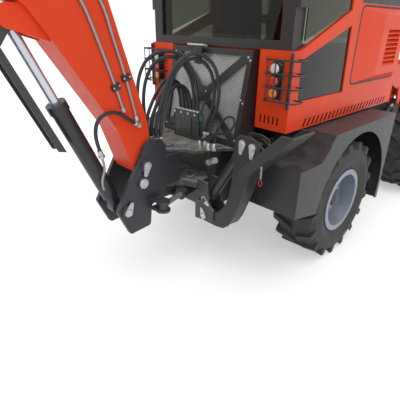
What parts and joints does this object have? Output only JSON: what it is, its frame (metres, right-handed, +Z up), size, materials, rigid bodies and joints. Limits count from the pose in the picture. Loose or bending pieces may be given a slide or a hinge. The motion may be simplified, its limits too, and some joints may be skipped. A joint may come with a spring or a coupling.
{
  "type": "backhoe loader",
  "caption": "Articulated backhoe loader with a glazed cab, front loader bucket, and a jointed digging arm with stabilizer legs at the back.",
  "frame": {"origin": "on the ground, at the centre of the machine's bounding box in plan", "axes": "+X forward to the loader bucket, +Y to the machine's left, +Z up"},
  "size_m": [7.4893, 2.1852, 2.9254],
  "materials": {
    "machine_orange": "satin",
    "chassis_dark": "satin",
    "post_grey": "satin",
    "cast_dark": "matte",
    "tyre": "matte",
    "rim_silver": "satin",
    "glass": "gloss",
    "seat_black": "matte",
    "rod_chrome": "polished",
    "lamp_plastic": "gloss",
    "bucket_steel": "matte",
    "floor_dark": "matte",
    "hose_black": "satin"
  },
  "bodies": {
    "rear": {"rear_frame": "chassis_dark", "fenders": "chassis_dark", "engine_block": "cast_dark", "cab_floor": "floor_dark", "cab_body": "machine_orange", "engine_cover": "machine_orange", "cab_frame": "chassis_dark", "cab_glass": "glass", "cab_roof": "machine_orange", "seat": "seat_black", "rear_guards": "chassis_dark", "lamps": "lamp_plastic", "backhoe_frame": "post_grey", "valve_bank": "post_grey", "hoses": "hose_black", "rear_axle": "cast_dark"},
    "cab_door": {"door": "chassis_dark", "door_glass": "glass"},
    "front": {"front_frame": "machine_orange", "front_axle": "cast_dark"},
    "post": {"swing_post": "post_grey"},
    "boom_arm": {"boom": "machine_orange"},
    "dipper_arm": {"dipper": "machine_orange"},
    "guides": {"guide_link": "chassis_dark"},
    "pushers": {"push_link": "chassis_dark"},
    "digger": {"dig_bucket": "bucket_steel"},
    "loader": {"loader_arms": "machine_orange"},
    "scoop": {"loader_bucket": "bucket_steel"},
    "steer_barrel_body": {"steer_barrel": "post_grey"},
    "steer_rod_body": {"steer_rod": "rod_chrome"},
    "wheel_rear_left": {"tyre_rear_left": "tyre", "rim_rear_left": "rim_silver"},
    "wheel_rear_right": {"tyre_rear_right": "tyre", "rim_rear_right": "rim_silver"},
    "wheel_front_left": {"tyre_front_left": "tyre", "rim_front_left": "rim_silver"},
    "wheel_front_right": {"tyre_front_right": "tyre", "rim_front_right": "rim_silver"},
    "swing_left_barrel_body": {"swing_barrel_left": "post_grey"},
    "swing_left_rod_body": {"swing_rod_left": "rod_chrome"},
    "swing_right_barrel_body": {"swing_barrel_right": "post_grey"},
    "swing_right_rod_body": {"swing_rod_right": "rod_chrome"},
    "boom_barrel_body": {"boom_barrel": "post_grey"},
    "boom_rod_body": {"boom_rod": "rod_chrome"},
    "dipper_barrel_body": {"dipper_barrel": "post_grey"},
    "dipper_rod_body": {"dipper_rod": "rod_chrome"},
    "bucket_barrel_body": {"bucket_barrel": "post_grey"},
    "bucket_rod_body": {"bucket_rod": "rod_chrome"},
    "leg_left": {"stabilizer_leg_left": "post_grey"},
    "foot_left": {"stabilizer_foot_left": "post_grey"},
    "stabilizer_left_barrel_body": {"stabilizer_barrel_left": "post_grey"},
    "stabilizer_left_rod_body": {"stabilizer_rod_left": "rod_chrome"},
    "leg_right": {"stabilizer_leg_right": "post_grey"},
    "foot_right": {"stabilizer_foot_right": "post_grey"},
    "stabilizer_right_barrel_body": {"stabilizer_barrel_right": "post_grey"},
    "stabilizer_right_rod_body": {"stabilizer_rod_right": "rod_chrome"},
    "lift_barrel_body": {"lift_barrels": "post_grey"},
    "lift_rod_body": {"lift_rods": "rod_chrome"},
    "tilt_barrel_body": {"tilt_barrels": "post_grey"},
    "tilt_rod_body": {"tilt_rods": "rod_chrome"}
  },
  "joints": [
    {"name": "articulation", "type": "hinge", "parent": "rear", "child": "front", "pos_m": [1.047, 0, 0.78], "axis": [0, 0, 1], "range_deg": [-35, 35]},
    {"name": "steer_barrel_turn", "type": "hinge", "parent": "rear", "child": "steer_barrel_body", "pos_m": [0.607, 0.12, 0.79], "axis": [0, 0, 1], "range_deg": [-12.1, 12.1]},
    {"name": "steer_rod_slide", "type": "slide", "parent": "steer_barrel_body", "child": "steer_rod_body", "axis": [1, 0, 0], "range_m": [-0.0738, 0.0738]},
    {"name": "wheel_rear_left_spin", "type": "hinge", "parent": "rear", "child": "wheel_rear_left", "pos_m": [-0.153, 0.763, 0.5375], "axis": [0, 1, 0], "continuous": true},
    {"name": "wheel_rear_right_spin", "type": "hinge", "parent": "rear", "child": "wheel_rear_right", "pos_m": [-0.153, -0.763, 0.5375], "axis": [0, 1, 0], "continuous": true},
    {"name": "wheel_front_left_spin", "type": "hinge", "parent": "front", "child": "wheel_front_left", "pos_m": [2.097, 0.763, 0.5375], "axis": [0, 1, 0], "continuous": true},
    {"name": "wheel_front_right_spin", "type": "hinge", "parent": "front", "child": "wheel_front_right", "pos_m": [2.097, -0.763, 0.5375], "axis": [0, 1, 0], "continuous": true},
    {"name": "door_swing", "type": "hinge", "parent": "rear", "child": "cab_door", "pos_m": [-0.043, 0.783, 1.9], "axis": [0, 0, 1], "range_deg": [0, 75]},
    {"name": "swing", "type": "hinge", "parent": "rear", "child": "post", "pos_m": [-1.413, 0, 0.96], "axis": [0, 0, 1], "range_deg": [-50, 50], "deforming": ["hoses"]},
    {"name": "swing_left_barrel_turn", "type": "hinge", "parent": "rear", "child": "swing_left_barrel_body", "pos_m": [-1.243, 0.12, 0.735], "axis": [0, 0, 1], "range_deg": [-36.99, 36.99]},
    {"name": "swing_left_rod_slide", "type": "slide", "parent": "swing_left_barrel_body", "child": "swing_left_rod_body", "axis": [-0.9628, 0.2701, 0], "range_m": [-0.1361, 0.1361]},
    {"name": "swing_right_barrel_turn", "type": "hinge", "parent": "rear", "child": "swing_right_barrel_body", "pos_m": [-1.243, -0.12, 0.735], "axis": [0, 0, 1], "range_deg": [-36.99, 36.99]},
    {"name": "swing_right_rod_slide", "type": "slide", "parent": "swing_right_barrel_body", "child": "swing_right_rod_body", "axis": [-0.9628, -0.2701, 0], "range_m": [-0.1361, 0.1361]},
    {"name": "boom_lift", "type": "hinge", "parent": "post", "child": "boom_arm", "pos_m": [-1.73, 0, 1.046], "axis": [0, 1, 0], "range_deg": [-75, 12]},
    {"name": "boom_barrel_turn", "type": "hinge", "parent": "post", "child": "boom_barrel_body", "pos_m": [-1.913, 0, 0.742], "axis": [0, 1, 0], "range_deg": [-73.96, 12.25]},
    {"name": "boom_rod_slide", "type": "slide", "parent": "boom_barrel_body", "child": "boom_rod_body", "axis": [-0.3993, 0, 0.9168], "range_m": [-0.4282, 0.0702]},
    {"name": "dipper_crowd", "type": "hinge", "parent": "boom_arm", "child": "dipper_arm", "pos_m": [-3.283, 0, 2.7], "axis": [0, -1, 0], "range_deg": [-80, 20]},
    {"name": "dipper_barrel_turn", "type": "hinge", "parent": "boom_arm", "child": "dipper_barrel_body", "pos_m": [-2.193, 0, 2.5], "axis": [0, -1, 0], "range_deg": [-4.57, 1.52]},
    {"name": "dipper_rod_slide", "type": "slide", "parent": "dipper_barrel_body", "child": "dipper_rod_body", "axis": [-0.9532, 0, 0.3023], "range_m": [-0.2467, 0.0632]},
    {"name": "bucket_curl", "type": "hinge", "parent": "dipper_arm", "child": "digger", "pos_m": [-3.498, 0, 1.478], "axis": [0, -1, 0], "range_deg": [-72, 30]},
    {"name": "guide_turn", "type": "hinge", "parent": "dipper_arm", "child": "guides", "pos_m": [-3.45468, 0, 1.72422], "axis": [0, -1, 0], "range_deg": [-72.5, 30.5]},
    {"name": "push_turn", "type": "hinge", "parent": "guides", "child": "pushers", "pos_m": [-3.64451, 0, 1.62328], "axis": [0, -1, 0], "range_deg": [-30.5, 72.5]},
    {"name": "bucket_barrel_turn", "type": "hinge", "parent": "dipper_arm", "child": "bucket_barrel_body", "pos_m": [-3.5351, 0, 2.52892], "axis": [0, -1, 0], "range_deg": [-3.67, 1.82]},
    {"name": "bucket_rod_slide", "type": "slide", "parent": "bucket_barrel_body", "child": "bucket_rod_body", "axis": [-0.1199, 0, -0.9928], "range_m": [-0.234, 0.0987]},
    {"name": "stabilizer_left", "type": "hinge", "parent": "rear", "child": "leg_left", "pos_m": [-1.243, 0.333, 0.571], "axis": [-1, 0, 0], "range_deg": [0, 96]},
    {"name": "stabilizer_foot_left_turn", "type": "hinge", "parent": "leg_left", "child": "foot_left", "pos_m": [-1.243, 0.759, 1.23], "axis": [1, 0, 0], "range_deg": [0, 60]},
    {"name": "stabilizer_left_barrel_turn", "type": "hinge", "parent": "rear", "child": "stabilizer_left_barrel_body", "pos_m": [-1.243, 0.337, 0.71], "axis": [-1, 0, 0], "range_deg": [-0.5, 101.91]},
    {"name": "stabilizer_left_rod_slide", "type": "slide", "parent": "stabilizer_left_barrel_body", "child": "stabilizer_left_rod_body", "axis": [0, 0.5365, 0.8439], "range_m": [-0.002, 0.198]},
    {"name": "stabilizer_right", "type": "hinge", "parent": "rear", "child": "leg_right", "pos_m": [-1.243, -0.333, 0.571], "axis": [1, 0, 0], "range_deg": [0, 96]},
    {"name": "stabilizer_foot_right_turn", "type": "hinge", "parent": "leg_right", "child": "foot_right", "pos_m": [-1.243, -0.759, 1.23], "axis": [-1, 0, 0], "range_deg": [0, 60]},
    {"name": "stabilizer_right_barrel_turn", "type": "hinge", "parent": "rear", "child": "stabilizer_right_barrel_body", "pos_m": [-1.243, -0.337, 0.71], "axis": [1, 0, 0], "range_deg": [-0.5, 101.91]},
    {"name": "stabilizer_right_rod_slide", "type": "slide", "parent": "stabilizer_right_barrel_body", "child": "stabilizer_right_rod_body", "axis": [0, -0.5365, 0.8439], "range_m": [-0.002, 0.198]},
    {"name": "loader_lift", "type": "hinge", "parent": "front", "child": "loader", "pos_m": [1.567, 0, 1.48], "axis": [0, -1, 0], "range_deg": [0, 85]},
    {"name": "lift_barrel_turn", "type": "hinge", "parent": "front", "child": "lift_barrel_body", "pos_m": [1.327, 0, 0.57], "axis": [0, -1, 0], "range_deg": [-0.5, 27.04]},
    {"name": "lift_rod_slide", "type": "slide", "parent": "lift_barrel_body", "child": "lift_rod_body", "axis": [0.816, 0, 0.578], "range_m": [-0.002, 0.6864]},
    {"name": "scoop_tilt", "type": "hinge", "parent": "loader", "child": "scoop", "pos_m": [2.997, 0, 0.33], "axis": [0, 1, 0], "range_deg": [-35, 80]},
    {"name": "tilt_barrel_turn", "type": "hinge", "parent": "loader", "child": "tilt_barrel_body", "pos_m": [2.027, 0, 1.54], "axis": [0, 1, 0], "range_deg": [-4, 2.03]},
    {"name": "tilt_rod_slide", "type": "slide", "parent": "tilt_barrel_body", "child": "tilt_rod_body", "axis": [0.7107, 0, -0.7035], "range_m": [-0.1137, 0.2574]}
  ],
  "couplings": [
    {"joint": "steer_barrel_turn", "follows": "articulation", "ratio": 0.33156},
    {"joint": "steer_rod_slide", "follows": "articulation", "m_per_rad": -0.11753},
    {"joint": "swing_left_barrel_turn", "follows": "swing", "ratio": 0.72986},
    {"joint": "swing_left_rod_slide", "follows": "swing", "m_per_rad": 0.15361},
    {"joint": "swing_right_barrel_turn", "follows": "swing", "ratio": 0.72986},
    {"joint": "swing_right_rod_slide", "follows": "swing", "m_per_rad": -0.15361},
    {"joint": "boom_barrel_turn", "follows": "boom_lift", "ratio": 0.9795},
    {"joint": "boom_rod_slide", "follows": "boom_lift", "m_per_rad": 0.32563},
    {"joint": "dipper_barrel_turn", "follows": "dipper_crowd", "ratio": 0.05086},
    {"joint": "dipper_rod_slide", "follows": "dipper_crowd", "m_per_rad": 0.17524},
    {"joint": "guide_turn", "follows": "bucket_curl", "ratio": 1},
    {"joint": "push_turn", "follows": "bucket_curl", "ratio": -1},
    {"joint": "bucket_barrel_turn", "follows": "bucket_curl", "ratio": 0.04402},
    {"joint": "bucket_rod_slide", "follows": "bucket_curl", "m_per_rad": 0.18462},
    {"joint": "stabilizer_left_barrel_turn", "follows": "stabilizer_left", "ratio": 1.0564},
    {"joint": "stabilizer_left_rod_slide", "follows": "stabilizer_left", "m_per_rad": 0.11696},
    {"joint": "stabilizer_right_barrel_turn", "follows": "stabilizer_right", "ratio": 1.0564},
    {"joint": "stabilizer_right_rod_slide", "follows": "stabilizer_right", "m_per_rad": 0.11696},
    {"joint": "lift_barrel_turn", "follows": "loader_lift", "ratio": 0.31224},
    {"joint": "lift_rod_slide", "follows": "loader_lift", "m_per_rad": 0.46136},
    {"joint": "tilt_barrel_turn", "follows": "scoop_tilt", "ratio": -0.04372},
    {"joint": "tilt_rod_slide", "follows": "scoop_tilt", "m_per_rad": 0.18293}
  ]
}
